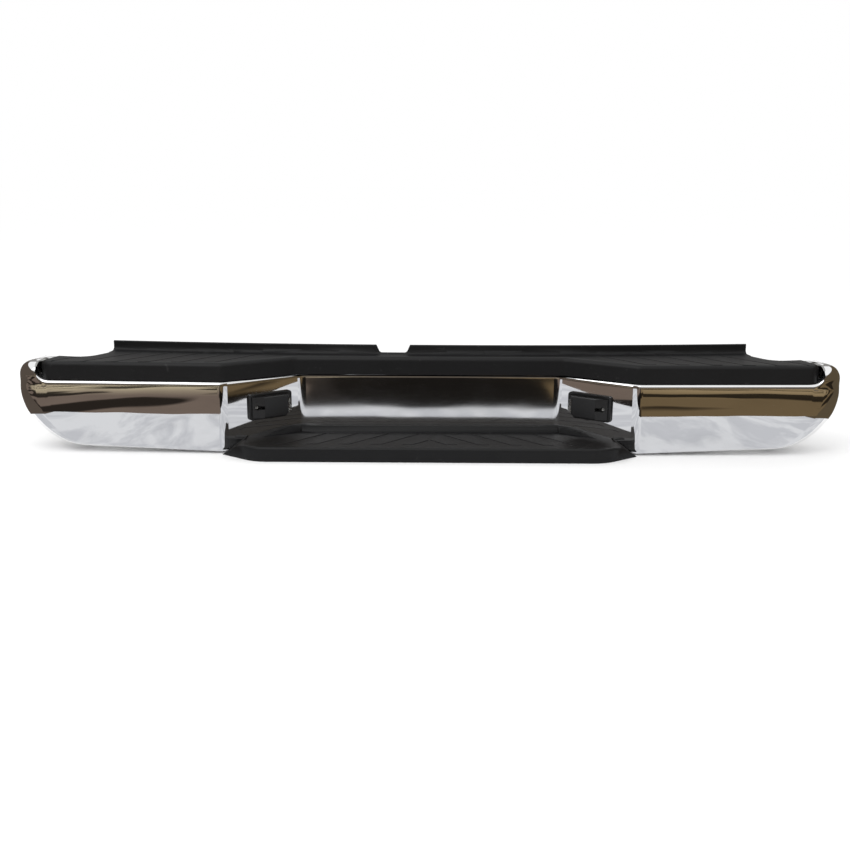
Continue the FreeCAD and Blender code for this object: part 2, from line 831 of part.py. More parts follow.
def add_pad(body, name, sketch, length, reversed_way=False):
    pad = body.newObject("PartDesign::Pad", name)
    pad.Profile = sketch
    pad.Reversed = reversed_way
    pad.setExpression("Length", length[1])
    return pad


def add_pocket(body, name, sketch, length, reversed_way):
    pocket = body.newObject("PartDesign::Pocket", name)
    pocket.Profile = sketch
    pocket.Reversed = reversed_way
    pocket.setExpression("Length", length[1])
    return pocket


parts = []


def keep(obj, label):
    obj.Label = label
    parts.append(obj)
    return obj


def keep_shape(label, shape):
    feature = doc.addObject("Part::Feature", label)
    feature.Shape = shape
    return keep(feature, label)


def keep_mirrored(source, label):
    twin = doc.addObject("Part::Mirroring", label)
    twin.Source = source
    twin.Normal = along
    return keep(twin, label)


keep_shape("face_bar", build_face_bar())
keep_shape("top_step_pad", build_top_pad())
keep_shape("lower_step_pad", build_lower_pad())

# Cross beam: a folded channel behind the recess, open to the back
web_front = total("bar_panel", "bar_skin", "fit_gap")
web_back = total("bar_panel", "bar_skin", "fit_gap", "beam_wall")
beam_top = total("beam_low", "beam_tall")
lip_back = total("bar_panel", "bar_skin", "fit_gap", "beam_deep")
beam = doc.addObject("PartDesign::Body", "cross_beam")
channel = add_sketch(beam, "beam_section", "YZ_Plane", fixed(-beam_half), [
    (web_front, total("beam_low")),
    (lip_back, total("beam_low")),
    (lip_back, total("beam_low", "beam_wall")),
    (web_back, total("beam_low", "beam_wall")),
    (web_back, total("beam_low", "beam_tall", "-beam_wall")),
    (lip_back, total("beam_low", "beam_tall", "-beam_wall")),
    (lip_back, beam_top),
    (web_front, beam_top),
])
add_pad(beam, "beam_channel", channel, fixed(2 * beam_half))
doc.recompute()

# Bolt places along the beam as (x, z, radius)
foot_x = s.bracket_place + s.bracket_wall + (s.bracket_foot - s.bracket_wall) / 2
brace_x = brace_inner + s.brace_bolt_in
large = s.large_bolt
small = s.small_bolt
foot_bolts = [
    (side * foot_x, s.foot_bolt_level + turn * s.foot_bolt_up / 2)
    for side in (-1, 1) for turn in (-1, 1)
]
brace_level = s.brace_low + s.brace_tall / 2
brace_bolts = [(side * (brace_x + i * s.brace_bolt_pitch), brace_level) for side in (-1, 1) for i in (0, 1)]
support_bolts = [(x, support_bolt_level) for x in support_bolt_places()]
beam_holes = [(x, z, large) for x, z in foot_bolts]
beam_holes += [(x, z, small) for x, z in brace_bolts + support_bolts]

hole_sketch = add_circles(beam, "beam_hole_sketch", "XZ_Plane", total("-bar_panel"), [
    (fixed(x), fixed(z), fixed(radius + s.bolt_hole_room)) for x, z, radius in beam_holes
])
add_pocket(beam, "beam_holes", hole_sketch, total("beam_deep"), False)
keep(beam, "cross_beam")

# Frame brackets: a folded foot on the beam and a plate back to the frame rail
bracket = doc.addObject("PartDesign::Body", "frame_bracket_right")
room = total("beam_low", "beam_wall", "bolt_hole_room")
ceiling = total("beam_low", "beam_tall", "-beam_wall", "-bolt_hole_room")
plate = add_sketch(bracket, "bracket_profile", "YZ_Plane", total("bracket_place"), [
    (web_back, room),
    (total("bar_panel", "bar_skin", "fit_gap", "beam_deep"), room),
    (total("bracket_heel"), ground),
    (total("bracket_back"), ground),
    (total("bracket_back"), total("bracket_nose")),
    (total("bracket_slope"), ceiling),
    (web_back, ceiling),
])
add_pad(bracket, "bracket_plate", plate, total("bracket_wall"))
foot_plane = total("-bar_panel", "-bar_skin", "-fit_gap", "-beam_wall")
foot = add_sketch(bracket, "foot_profile", "XZ_Plane", foot_plane, [
    (total("bracket_place"), room),
    (total("bracket_place", "bracket_foot"), room),
    (total("bracket_place", "bracket_foot"), ceiling),
    (total("bracket_place"), ceiling),
])
add_pad(bracket, "bracket_foot_flange", foot, total("bracket_wall"), True)
frame_holes = []
for i in (-1, 1):
    for j in (-1, 1):
        y = s.frame_hole_back + i * s.frame_hole_along / 2
        z = s.frame_hole_level + j * s.frame_hole_up / 2
        frame_holes.append((fixed(y), fixed(z), total("frame_hole")))
frame_sketch = add_circles(bracket, "frame_hole_sketch", "YZ_Plane", total("bracket_place"), frame_holes)
add_pocket(bracket, "frame_holes", frame_sketch, total("bracket_wall"), True)
foot_holes = [
    (fixed(foot_x), fixed(z), total("large_bolt", "bolt_hole_room"))
    for x, z in foot_bolts if x > 0
]
foot_sketch = add_circles(bracket, "foot_hole_sketch", "XZ_Plane", total("-bar_panel"), foot_holes)
add_pocket(bracket, "foot_holes", foot_sketch, total("beam_deep"), False)
keep(bracket, "frame_bracket_right")
doc.recompute()
keep_mirrored(bracket, "frame_bracket_left")

# Corner braces: a slanting strap from the beam's end to the side of the wing


def side_wall(y, inset):
    """X of the right side wall's face at a depth."""
    chain = bar_corners(inset)
    front, back = chain[6], chain[7]
    return front[0] + (back[0] - front[0]) * (y - front[1]) / (back[1] - front[1])


brace = doc.addObject("PartDesign::Body", "corner_brace_right")
strap_back = web_back[0] + s.brace_wall
reach = side_wall(strap_back, s.bar_skin + s.brace_wall / 2)
strap = add_sketch(brace, "strap_profile", "XZ_Plane", fixed(-web_back[0]), [
    (fixed(brace_inner), total("brace_low")),
    (fixed(beam_half), total("brace_low")),
    (fixed(reach), total("brace_tab_low")),
    (fixed(reach), total("brace_tab_low", "brace_tab_tall")),
    (fixed(beam_half), total("brace_low", "brace_tall")),
    (fixed(brace_inner), total("brace_low", "brace_tall")),
])
add_pad(brace, "strap", strap, total("brace_wall"), True)
tab_front = web_back[0] - s.brace_tab
wall_face = s.bar_skin
inner_face = s.bar_skin + s.brace_wall
tab = add_sketch(brace, "tab_profile", "XY_Plane", total("brace_tab_low"), [
    (fixed(side_wall(tab_front, inner_face)), fixed(tab_front)),
    (fixed(side_wall(tab_front, wall_face)), fixed(tab_front)),
    (fixed(side_wall(strap_back, wall_face)), fixed(strap_back)),
    (fixed(side_wall(strap_back, inner_face)), fixed(strap_back)),
])
add_pad(brace, "tab", tab, total("brace_tab_tall"))
brace_holes = [
    (fixed(x), fixed(z), total("small_bolt", "bolt_hole_room"))
    for x, z in brace_bolts if x > 0
]
brace_sketch = add_circles(brace, "brace_hole_sketch", "XZ_Plane", total("-bar_panel"), brace_holes)
add_pocket(brace, "brace_holes", brace_sketch, total("beam_deep"), False)
keep(brace, "corner_brace_right")
doc.recompute()
keep_mirrored(brace, "corner_brace_left")

# Support under the lower step: a folded plate on two ribs
support_low = support_top - s.support_wall
clip_in = s.support_clip_in
clips_below = [
    (side * (s.support_half - clip_in), y)
    for side in (-1, 1) for y in (s.support_front + clip_in, s.bar_panel - clip_in)
]


def support_profile():
    low, high, wall = support_low, support_top, s.support_wall
    front, back = flange_front, flange_front + wall
    return [
        (s.support_front, low), (back, low), (back, high + s.support_flange),
        (front, high + s.support_flange), (front, high), (s.support_front, high),
    ]


support = doc.addObject("PartDesign::Body", "step_support")
tray = add_sketch(support, "tray_profile", "YZ_Plane", total("-support_half"), [
    (fixed(y), fixed(z)) for y, z in support_profile()
])
add_pad(support, "tray", tray, total("support_half", "support_half"))
for side in (-1, 1):
    name = "left" if side < 0 else "right"
    rib_place = side * s.support_rib_half - s.support_wall / 2
    rib = add_sketch(support, f"rib_profile_{name}", "YZ_Plane", fixed(rib_place), [
        (total("support_front"), fixed(support_low)),
        (fixed(flange_front), fixed(support_low - s.support_rib_drop)),
        (fixed(flange_front), fixed(support_low)),
    ])
    add_pad(support, f"rib_{name}", rib, total("support_wall"))
flange_holes = [(fixed(x), fixed(z), total("small_bolt", "bolt_hole_room")) for x, z in support_bolts]
flange_sketch = add_circles(support, "flange_hole_sketch", "XZ_Plane", fixed(-s.bar_panel), flange_holes)
add_pocket(support, "flange_holes", flange_sketch, total("support_flange"), True)
clip_holes = [(fixed(x), fixed(y), total("clip_stem", "fit_gap")) for x, y in clips_below]
clip_sketch = add_circles(support, "clip_hole_sketch", "XY_Plane", fixed(support_top), clip_holes)
add_pocket(support, "clip_holes", clip_sketch, total("support_wall", "support_wall"), False)
keep(support, "step_support")
doc.recompute()

# Fasteners: hexagon bolts with their nuts, and push clips under the pads


def hexagon_bolt(name, shank, head, across, length):
    """A bolt along Y with its head at the front and the seat of the head at the origin."""
    stem = doc.addObject("Part::Cylinder", f"{name}_shank")
    stem.setExpression("Radius", f"Sizes.{shank}")
    stem.Height = length + getattr(s, head) / 2
    cap = doc.addObject("Part::Prism", f"{name}_head")
    cap.Polygon = 6
    cap.setExpression("Circumradius", f"Sizes.{across}")
    cap.setExpression("Height", f"Sizes.{head}")
    stem.setExpression("Placement.Base.z", f"Sizes.{head} / 2")
    whole = doc.addObject("Part::Fuse", f"{name}_bolt")
    whole.Base = stem
    whole.Tool = cap
    whole.Placement = Placement(Vector(0, -getattr(s, head), 0), Rotation(along, -90))
    return whole


def hexagon_nut(name, shank, head, across):
    """A nut along Y with its face at the origin, clear of the shank."""
    ring = doc.addObject("Part::Prism", f"{name}_hexagon")
    ring.Polygon = 6
    ring.setExpression("Circumradius", f"Sizes.{across}")
    ring.setExpression("Height", f"Sizes.{head}")
    bore = doc.addObject("Part::Cylinder", f"{name}_bore")
    bore.setExpression("Radius", f"Sizes.{shank} * 1 mm + Sizes.thread_room * 1 mm")
    bore.setExpression("Height", f"Sizes.{head}")
    whole = doc.addObject("Part::Cut", f"{name}_nut")
    whole.Base = ring
    whole.Tool = bore
    whole.Placement = Placement(Vector(0, 0, 0), Rotation(along, -90))
    return whole


def keep_group(label, pattern, places):
    """Copies of one fastener as a group of separate solids."""
    doc.recompute()
    links = []
    for i, place in enumerate(places):
        link = doc.addObject("App::Link", f"{label}_{i + 1}")
        link.LinkedObject = pattern
        link.LinkTransform = True
        link.Placement = Placement(place, Rotation())
        links.append(link)
    group = doc.addObject("Part::Compound", label)
    group.Links = links
    return keep(group, label)


web_y = web_front[0]
foot_grip = s.beam_wall + s.bracket_wall
length = foot_grip + s.large_head + s.bolt_spare
bolt = hexagon_bolt("bracket", "large_bolt", "large_head", "large_across", length)
nut = hexagon_nut("bracket", "large_bolt", "large_head", "large_across")
keep_group("bracket_bolts", bolt, [Vector(x, web_y, z) for x, z in foot_bolts])
keep_group("bracket_nuts", nut, [Vector(x, web_y + foot_grip, z) for x, z in foot_bolts])
brace_grip = s.beam_wall + s.brace_wall
length = brace_grip + s.small_head + s.bolt_spare
bolt = hexagon_bolt("brace", "small_bolt", "small_head", "small_across", length)
small_nut = hexagon_nut("small", "small_bolt", "small_head", "small_across")
keep_group("brace_bolts", bolt, [Vector(x, web_y, z) for x, z in brace_bolts])
keep_group("brace_nuts", small_nut, [Vector(x, web_y + brace_grip, z) for x, z in brace_bolts])
support_grip = web_back[0] - flange_front
length = support_grip + s.small_head + s.bolt_spare
bolt = hexagon_bolt("support", "small_bolt", "small_head", "small_across", length)
keep_group("support_bolts", bolt, [Vector(x, flange_front, z) for x, z in support_bolts])
keep_group("support_nuts", small_nut, [Vector(x, web_back[0], z) for x, z in support_bolts])


def push_clip(name, plate_wall):
    """A clip hanging from a pad, its barb under a plate, with the top of its stem at the origin."""
    stem = doc.addObject("Part::Cylinder", f"{name}_stem")
    stem.setExpression("Radius", "Sizes.clip_stem")
    stem.setExpression("Height", "Sizes.clip_long")
    stem.setExpression("Placement.Base.z", "-Sizes.clip_long")
    barb = doc.addObject("Part::Cone", f"{name}_barb")
    barb.Radius1 = s.clip_stem - s.clip_barb_in
    barb.Radius2 = s.clip_stem + s.clip_barb_out
    barb.Height = s.clip_long - plate_wall - 2 * s.fit_gap
    barb.setExpression("Placement.Base.z", "-Sizes.clip_long")
    whole = doc.addObject("Part::Fuse", f"{name}_clip")
    whole.Base = stem
    whole.Tool = barb
    return whole


clip = push_clip("top", s.bar_skin)
keep_group("top_pad_clips", clip, [Vector(x, y, s.bar_top + s.fit_gap) for x, y in clip_places()])
clip = push_clip("lower", s.support_wall)
keep_group("lower_pad_clips", clip, [Vector(x, y, s.step_level - s.pad_wall) for x, y in clips_below])

# Number plate lamps, drawn for the right flank: X runs outboard and Y into the bumper


def facing_plate(corners, front, back):
    """A plate with an outline in X and Z, from a front depth to a back depth."""
    plate_shape = prism(corners, 0, back - front)
    plate_shape.rotate(Vector(0, 0, 0), along, 90)
    plate_shape.translate(Vector(0, back, 0))
    return plate_shape


def lamp_outline(inset):
    half = s.lamp_half - inset
    tall = s.lamp_tall / 2 - inset
    corner = max(s.lamp_corner - inset, 1)
    return [
        (-half + s.lamp_cut, -tall, corner),
        (half, -tall, corner),
        (half, tall, corner),
        (-half, tall, corner),
        (-half, -tall + s.lamp_cut, corner),
    ]


def upright(points, half_tall):
    """A wall with an outline seen from above, centred on the lamp's middle level."""
    return prism([(x, y, 0) for x, y in points], -half_tall, half_tall)


face_y = -s.lamp_seal - s.lamp_rim
body_half = s.lamp_half - s.lamp_border
nose_outer = s.lamp_half / 2 - s.lamp_nose_round
side_depth = face_y - s.lamp_side_deep
lens_start = Vector(-s.lamp_half * s.lens_share, -s.lamp_nose, 0)
lens_end = Vector(-body_half, side_depth - s.lamp_side_deep, 0)
screw_seat = face_y - s.screw_sink
holder_x = (s.tub_outer - s.tub_inner) / 2
holder_front = s.tub_deep - s.lamp_wall - s.holder_long / 2


def lens_block(outer, inner, trim, half_tall):
    """A flat block in the inboard facet, between two depths behind the facet."""
    run = (lens_end - lens_start).normalize()
    behind = Vector(-run.y, run.x, 0)
    first = lens_start + run * trim
    last = lens_end - run * trim
    points = [first + behind * outer, last + behind * outer, last + behind * inner, first + behind * inner]
    return upright([(point.x, point.y) for point in points], half_tall)


def build_housing():
    wall = s.lamp_wall
    rim = facing_plate(lamp_outline(0), face_y, -s.lamp_seal)
    base = face_y + s.lamp_rim / 2
    nose = upright([
        (body_half, base), (body_half, side_depth), (nose_outer, -s.lamp_nose),
        (lens_start.x, lens_start.y), (lens_end.x, lens_end.y), (-body_half, base),
    ], s.lamp_tall)
    nose = nose.common(facing_plate(lamp_outline(s.lamp_border), -s.lamp_nose - 1, base))
    front_rim = [edge for edge in nose.Edges if edge.BoundBox.YMax < 1e-4 - s.lamp_nose]
    nose = nose.makeFillet(s.lamp_nose_round, front_rim)
    tub = box(-s.tub_inner - wall, s.tub_outer + wall, base, s.tub_deep,
              -s.tub_half_tall - wall, s.tub_half_tall + wall)
    hollow = box(-s.tub_inner, s.tub_outer, side_depth, s.tub_deep - wall, -s.tub_half_tall, s.tub_half_tall)
    nose_hollow = upright([
        (s.tub_outer, side_depth + 1), (nose_outer - wall, -s.lamp_nose + wall),
        (lens_start.x + 1, -s.lamp_nose + wall), (-body_half + 2 * wall, side_depth + 1),
    ], s.tub_half_tall)
    trim = s.lens_trim - s.lens_room
    window = lens_block(-1, 3 * wall, trim, s.tub_half_tall - trim)
    seat = Vector(s.screw_place, screw_seat, 0)
    well = Part.makeCylinder(s.screw_well, s.lamp_nose, seat, -inward)
    slot = box(s.screw_place - s.screw_slot, s.screw_place, -s.lamp_nose - 1, screw_seat - s.screw_sink,
               -s.screw_slot_half, s.screw_slot_half)
    bore = Part.makeCylinder(s.screw_round + s.pin_hole_room, s.screw_long, seat - inward, inward)
    tub_back = Vector(holder_x, s.tub_deep - 2 * wall, 0)
    holder_hole = Part.makeCylinder(s.holder_round + s.lens_room, 3 * wall, tub_back, inward)
    return rim.fuse([nose, tub]).cut([hollow, nose_hollow, window, well, slot, bore, holder_hole])


def build_holder():
    """The bulb holder, with the open socket for the truck's plug at its back."""
    front = Vector(holder_x, holder_front, 0)
    barrel = Part.makeCylinder(s.holder_round, s.holder_long, front, inward)
    lip_place = Vector(holder_x, s.tub_deep, 0)
    lip = Part.makeCylinder(s.holder_round + s.holder_lip, s.holder_lip_thick, lip_place, inward)
    back = holder_front + s.holder_long
    bulb_hole = Part.makeCylinder(s.bulb_round, s.holder_long / 3, front, inward)
    socket = box(holder_x - s.socket_half, holder_x + s.socket_half, back - s.holder_long / 3, back + 1,
                 -s.socket_half_tall, s.socket_half_tall)
    return barrel.fuse(lip).cut([bulb_hole, socket])


def build_bulb():
    tip = Vector(holder_x, holder_front + s.holder_long / 3 - s.bulb_long, 0)
    radius = s.bulb_round - s.thread_room
    glass = Part.makeCylinder(radius, s.bulb_long, tip, inward)
    dome = Part.makeSphere(radius, tip)
    return glass.fuse(dome).removeSplitter()


def build_seal():
    ring = facing_plate(lamp_outline(s.lamp_rim / 4), -s.lamp_seal, 0)
    reach = s.lamp_wall + s.fit_gap
    through = 2 * s.lamp_seal
    opening = box(-s.tub_inner - reach, s.tub_outer + reach, -through, through,
                  -s.tub_half_tall - reach, s.tub_half_tall + reach)
    start = Vector(s.screw_place, -through, 0)
    bore = Part.makeCylinder(s.screw_round + s.pin_hole_room, 2 * through, start, inward)
    return ring.cut([opening, bore])


def build_lamp_screw():
    seat = Vector(s.screw_place, screw_seat, 0)
    shank = Part.makeCylinder(s.screw_round, s.screw_long, seat, inward)
    head = Part.makeCylinder(s.screw_head, s.screw_head_thick, seat, -inward)
    head = head.makeFillet(s.screw_head_thick / 2, [head.Edges[0]])
    front = screw_seat - s.screw_head_thick
    cross = []
    for wide, tall in ((s.cross_reach, s.cross_half), (s.cross_half, s.cross_reach)):
        cross.append(box(s.screw_place - wide, s.screw_place + wide, front - 1, front + s.cross_deep, -tall, tall))
    return shank.fuse(head).cut(cross)


lamp_pieces = {
    "housing": build_housing(),
    "lens": lens_block(0, s.lamp_wall, s.lens_trim, s.tub_half_tall - s.lens_trim),
    "seal": build_seal(),
    "bulb": build_bulb(),
    "holder": build_holder(),
    "screw": build_lamp_screw(),
}
for piece, shape in lamp_pieces.items():
    feature = doc.addObject("Part::Feature", f"plate_lamp_{piece}_right")
    feature.Shape = shape
    feature.Placement = plate_lamp_place()
    keep(feature, f"plate_lamp_{piece}_right")
    keep_mirrored(feature, f"plate_lamp_{piece}_left")

# Everything must be sound before any file is written
doc.recompute()
for obj in doc.Objects:
    if "Invalid" in obj.State or "Error" in obj.State:
        raise RuntimeError(f"{obj.Label} failed to compute: {obj.State}")
for obj in parts:
    if obj.Shape.isNull() or not obj.Shape.isValid() or not obj.Shape.Solids:
        raise RuntimeError(f"{obj.Label} has no sound shape")

os.makedirs("parts", exist_ok=True)
for obj in parts:
    obj.Shape.exportStep(f"parts/{obj.Label}.step")
    print(obj.Label, len(obj.Shape.Solids), round(obj.Shape.Volume))
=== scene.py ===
import bpy, bmesh, math
from mathutils import Matrix, Vector


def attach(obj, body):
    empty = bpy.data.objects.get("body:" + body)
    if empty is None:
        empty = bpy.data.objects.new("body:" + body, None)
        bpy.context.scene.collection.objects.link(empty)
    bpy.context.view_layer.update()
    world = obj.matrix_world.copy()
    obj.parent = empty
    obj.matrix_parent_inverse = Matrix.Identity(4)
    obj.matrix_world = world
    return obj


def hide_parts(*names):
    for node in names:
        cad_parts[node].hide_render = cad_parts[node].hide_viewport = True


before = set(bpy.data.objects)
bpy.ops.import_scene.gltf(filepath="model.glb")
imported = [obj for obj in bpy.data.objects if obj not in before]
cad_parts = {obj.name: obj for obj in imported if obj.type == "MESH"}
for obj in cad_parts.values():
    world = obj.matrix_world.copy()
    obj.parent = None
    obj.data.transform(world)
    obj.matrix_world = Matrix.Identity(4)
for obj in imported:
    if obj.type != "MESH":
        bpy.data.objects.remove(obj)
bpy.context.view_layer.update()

# Truck step bumper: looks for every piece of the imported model.
# Metres throughout. X runs along the bumper, -Y faces the viewer, Z is up.

scene = bpy.context.scene
scene.view_settings.view_transform = "Standard"
print("frame loaded:", len(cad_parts), "nodes")


# Shader building

class Value:
    # a socket that adds a Math node for each sum, product or power
    def __init__(self, finish, socket):
        self.finish = finish
        self.socket = socket

    def maths(self, operation, first, second):
        return self.finish.node("ShaderNodeMath", {"operation": operation}, {0: first, 1: second})

    def __add__(self, other):
        return self.maths("ADD", self, other)

    def __radd__(self, other):
        return self.maths("ADD", other, self)

    def __sub__(self, other):
        return self.maths("SUBTRACT", self, other)

    def __rsub__(self, other):
        return self.maths("SUBTRACT", other, self)

    def __mul__(self, other):
        return self.maths("MULTIPLY", self, other)

    def __rmul__(self, other):
        return self.maths("MULTIPLY", other, self)

    def __pow__(self, other):
        return self.maths("POWER", self, other)


class Finish:
    # one material with a Principled shader; node() adds any other node
    def __init__(self, name, **fixed):
        self.material = bpy.data.materials.new(name)
        self.material.use_nodes = True
        self.tree = self.material.node_tree
        self.shader = self.tree.nodes["Principled BSDF"]
        for key, value in fixed.items():
            self.shader.inputs[key.replace("_", " ")].default_value = value
        self.place = self.node("ShaderNodeTexCoord", output="Object")

    def node(self, kind, settings=None, sockets=None, output=0):
        made = self.tree.nodes.new(kind)
        for key, value in (settings or {}).items():
            if key == "stops":
                self.setStops(made.color_ramp, value)
            else:
                setattr(made, key, value)
        for key, value in (sockets or {}).items():
            if isinstance(value, Value):
                self.tree.links.new(value.socket, made.inputs[key])
            else:
                made.inputs[key].default_value = value
        return Value(self, made.outputs[output])

    def setStops(self, ramp, stops):
        while len(ramp.elements) < len(stops):
            ramp.elements.new(0.5)
        for element, (position, shade) in zip(ramp.elements, stops):
            element.position = position
            element.color = tuple(shade) + (1,) if isinstance(shade, (tuple, list)) else (shade, shade, shade, 1)

    def noise(self, scale, detail=3, roughness=0.5, stretch=None, distortion=0.0):
        place = self.place
        if stretch:
            place = self.node("ShaderNodeMapping", None, {"Vector": place, "Scale": stretch})
        return self.node("ShaderNodeTexNoise", None, {
            "Vector": place, "Scale": scale, "Detail": detail, "Roughness": roughness, "Distortion": distortion})

    def ramp(self, factor, stops):
        return self.node("ShaderNodeValToRGB", {"stops": stops}, {"Fac": factor})

    def blend(self, factor, first, second):
        made = self.tree.nodes.new("ShaderNodeMix")
        made.data_type = "RGBA"
        for slot, value in ((0, factor), (6, first), (7, second)):
            if isinstance(value, Value):
                self.tree.links.new(value.socket, made.inputs[slot])
            else:
                made.inputs[slot].default_value = tuple(value) + (1,) if isinstance(value, tuple) else value
        return Value(self, made.outputs[2])

    def feed(self, name, value):
        self.tree.links.new(value.socket, self.shader.inputs[name])

    def bump(self, height, distance, strength=1.0, under=None):
        sockets = {"Height": height, "Distance": distance, "Strength": strength}
        if under:
            sockets["Normal"] = under
        return self.node("ShaderNodeBump", None, sockets)


def chromeFinish():
    look = {"color": (0.86, 0.86, 0.865), "smoke": (0.76, 0.76, 0.765), "roughness": 0.02, "wipe": 0.04,
            "recessBlur": 0.055, "panelLean": -0.035, "flankLean": -0.030}
    finish = Finish("chrome", Metallic=1.0)
    smear = finish.noise(5, 4, 0.6, (1, 1, 3))
    haze = finish.ramp(smear, [(0.45, 0.0), (0.75, 1.0)])
    finish.feed("Base Color", finish.blend(haze, look["color"], look["smoke"]))
    x, y, z = (finish.node("ShaderNodeSeparateXYZ", None, {"Vector": finish.place}, i) for i in range(3))
    depth = finish.node("ShaderNodeMapRange", None, {"Value": y, "From Min": -0.012, "From Max": -0.006})
    flat = finish.node("ShaderNodeMath", {"operation": "LESS_THAN"}, {0: z, 1: 0.155})
    recess = depth * flat
    finish.feed("Roughness", haze * look["wipe"] + look["roughness"] + recess * look["recessBlur"])
    wave = finish.noise(7, 1, 0.4, (1, 1, 2))
    aside = finish.node("ShaderNodeMath", {"operation": "ABSOLUTE"}, {0: x})
    inside = finish.node("ShaderNodeMapRange", None, {"Value": aside, "From Min": 0.450, "From Max": 0.436})
    lean = inside * flat * look["flankLean"] + recess * (look["panelLean"] - look["flankLean"])
    leaning = finish.bump(z * lean, 1.0)
    finish.feed("Normal", finish.bump(wave, 0.0004, 1.0, leaning))
    return finish.material


def plateBackFinish():
    finish = Finish("bare_plate_back", Metallic=1.0)
    cloud = finish.noise(9, 5, 0.6)
    shade = finish.ramp(cloud, [(0.3, (0.26, 0.26, 0.25)), (0.7, (0.42, 0.42, 0.41))])
    finish.feed("Base Color", shade)
    finish.feed("Roughness", cloud * 0.3 + 0.32)
    finish.feed("Normal", finish.bump(finish.noise(400, 2), 0.0001))
    return finish.material


def stepPlasticFinish():
    look = {"dark": (0.0060, 0.0060, 0.0064), "worn": (0.011, 0.011, 0.0115), "scuff": (0.03, 0.03, 0.03)}
    finish = Finish("step_plastic", **{"Specular_IOR_Level": 0.22})
    cloud = finish.noise(6, 5, 0.65)
    base = finish.blend(cloud, look["dark"], look["worn"])
    scratch = finish.noise(60, 3, 0.6, (1, 0.12, 1), 1.0)
    marks = finish.ramp(scratch, [(0.66, 0.0), (0.72, 1.0)])
    finish.feed("Base Color", finish.blend(marks * 0.5, base, look["scuff"]))
    finish.feed("Roughness", cloud * 0.12 + 0.40)
    grain = finish.noise(900, 2, 0.6)
    finish.feed("Normal", finish.bump(grain, 0.00012))
    return finish.material


def lampPlasticFinish():
    finish = Finish("lamp_plastic", **{"Specular_IOR_Level": 0.5})
    cloud = finish.noise(30, 4, 0.6)
    finish.feed("Base Color", finish.blend(cloud, (0.006, 0.006, 0.0065), (0.012, 0.012, 0.0125)))
    finish.feed("Roughness", cloud * 0.08 + 0.26)
    finish.feed("Normal", finish.bump(finish.noise(1800, 1), 0.000012))
    return finish.material


def paintedSteelFinish():
    finish = Finish("painted_steel", **{"Specular_IOR_Level": 0.4})
    cloud = finish.noise(8, 5, 0.6)
    chips = finish.ramp(finish.noise(55, 6, 0.7), [(0.70, 0.0), (0.73, 1.0)])
    base = finish.blend(cloud, (0.012, 0.012, 0.013), (0.022, 0.022, 0.023))
    finish.feed("Base Color", finish.blend(chips * 0.6, base, (0.09, 0.075, 0.06)))
    finish.feed("Roughness", cloud * 0.2 + 0.38)
    finish.feed("Normal", finish.bump(finish.noise(260, 2), 0.00015))
    return finish.material


def zincFinish():
    finish = Finish("zinc_steel", Metallic=1.0)
    cloud = finish.noise(120, 4, 0.6)
    finish.feed("Base Color", finish.ramp(cloud, [(0.3, (0.50, 0.50, 0.48)), (0.7, (0.66, 0.66, 0.64))]))
    finish.feed("Roughness", cloud * 0.2 + 0.22)
    finish.feed("Normal", finish.bump(finish.noise(900, 2), 0.00004))
    return finish.material


def lensFinish():
    finish = Finish("clear_lens", **{"Transmission_Weight": 1.0, "IOR": 1.49})
    cloud = finish.noise(80, 3)
    finish.feed("Base Color", finish.blend(cloud, (0.92, 0.93, 0.93), (0.98, 0.98, 0.98)))
    finish.feed("Roughness", cloud * 0.06 + 0.05)
    ribs = finish.node("ShaderNodeTexWave", {"bands_direction": "Z"}, {"Vector": finish.place, "Scale": 180.0})
    finish.feed("Normal", finish.bump(ribs, 0.0003))
    return finish.material


def bulbFinish():
    finish = Finish("bulb_glass", **{"Transmission_Weight": 0.7, "IOR": 1.45})
    cloud = finish.noise(200, 3)
    finish.feed("Base Color", finish.blend(cloud, (0.90, 0.89, 0.85), (0.97, 0.96, 0.93)))
    finish.feed("Roughness", cloud * 0.1 + 0.08)
    return finish.material


def rubberFinish():
    finish = Finish("seal_rubber", **{"Specular_IOR_Level": 0.25})
    cloud = finish.noise(90, 4)
    finish.feed("Base Color", finish.blend(cloud, (0.008, 0.008, 0.008), (0.018, 0.017, 0.016)))
    finish.feed("Roughness", cloud * 0.15 + 0.7)
    finish.feed("Normal", finish.bump(finish.noise(1200, 2), 0.0001))
    return finish.material


def nylonFinish():
    finish = Finish("clip_nylon", **{"Specular_IOR_Level": 0.45})
    cloud = finish.noise(150, 4)
    finish.feed("Base Color", finish.blend(cloud, (0.012, 0.012, 0.013), (0.03, 0.03, 0.031)))
    finish.feed("Roughness", cloud * 0.2 + 0.4)
    finish.feed("Normal", finish.bump(finish.noise(1500, 2), 0.00003))
    return finish.material


chrome = chromeFinish()
plateBack = plateBackFinish()
stepPlastic = stepPlasticFinish()
lampPlastic = lampPlasticFinish()
paintedSteel = paintedSteelFinish()
zincSteel = zincFinish()
clearLens = lensFinish()
bulbGlass = bulbFinish()
sealRubber = rubberFinish()
clipNylon = nylonFinish()
print("finishes made")


# Pieces

def newPiece(name, mesh, materials, slot, *replaced):
    piece = bpy.data.objects.new(name, mesh)
    scene.collection.objects.link(piece)
    piece.data.materials.clear()
    for material in materials:
        piece.data.materials.append(material)
    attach(piece, "root")
    if replaced:
        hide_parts(*replaced)
    return piece


def smoothShaded(mesh, degrees):
    for face in mesh.polygons:
        face.use_smooth = True
    mesh.set_sharp_from_angle(angle=math.radians(degrees))


